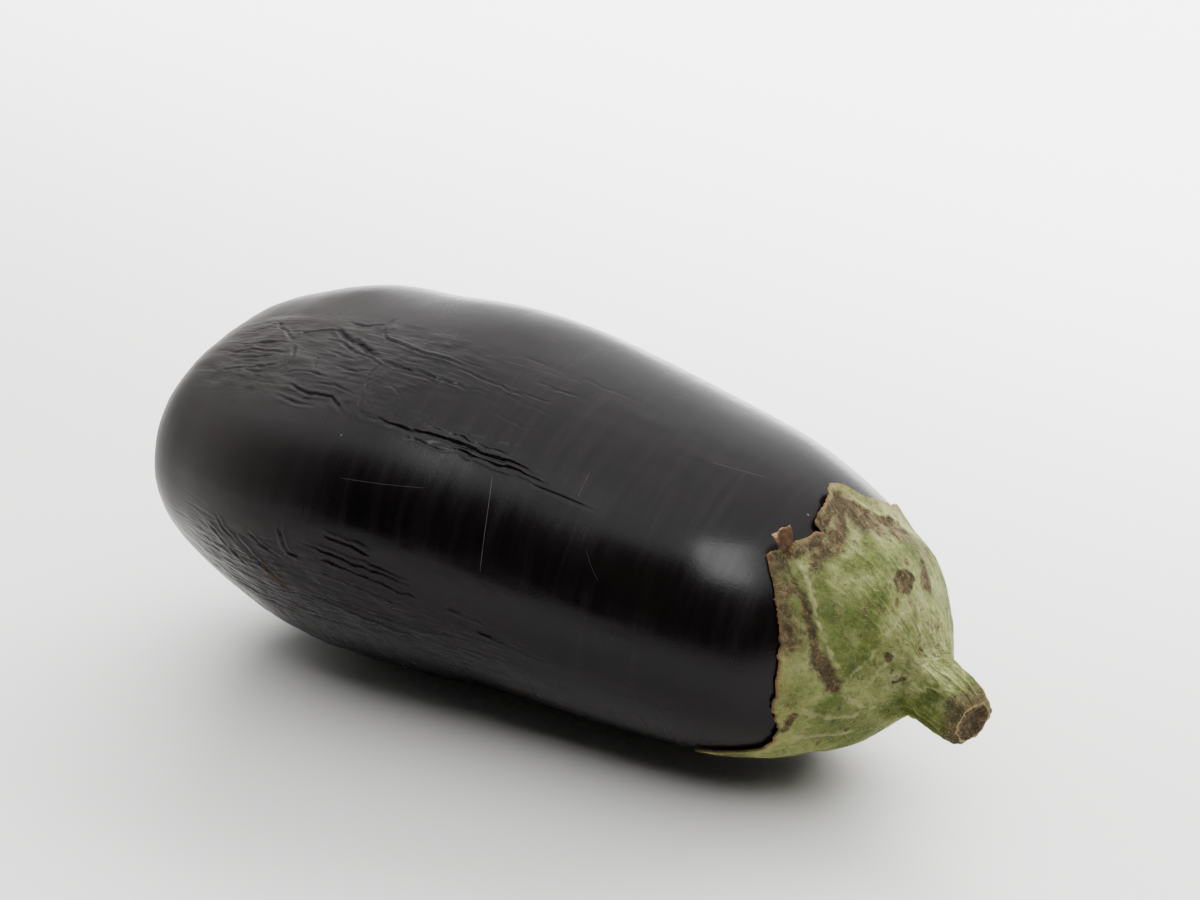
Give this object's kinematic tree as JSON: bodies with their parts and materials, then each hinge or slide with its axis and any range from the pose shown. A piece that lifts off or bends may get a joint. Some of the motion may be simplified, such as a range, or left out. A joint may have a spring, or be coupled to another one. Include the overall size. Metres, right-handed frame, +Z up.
{
  "type": "eggplant",
  "caption": "Whole eggplant lying on its side: a bent, near-black fruit wrinkled at the blossom end, with a torn green calyx and a short cut stem.",
  "frame": {"origin": "the middle of the flat spot on the belly that the fruit rests on", "axes": "+X along the fruit from the blossom end to the stem, +Z up from the surface it lies on, +Y to the left seen from the blossom end"},
  "size_m": [0.2061, 0.1008, 0.0866],
  "materials": {
    "skin": "near-black purple-brown skin, semi-gloss, fine orange-peel grain, wrinkled at the blossom end",
    "calyx": "matt sage-green calyx with brown dried edges and fine woolly hairs",
    "stem": "matt green ridged stem with a brown fibrous cut end"
  },
  "bodies": {
    "root": {"fruit": "skin", "calyx": "calyx", "stem": "stem"}
  },
  "joints": []
}
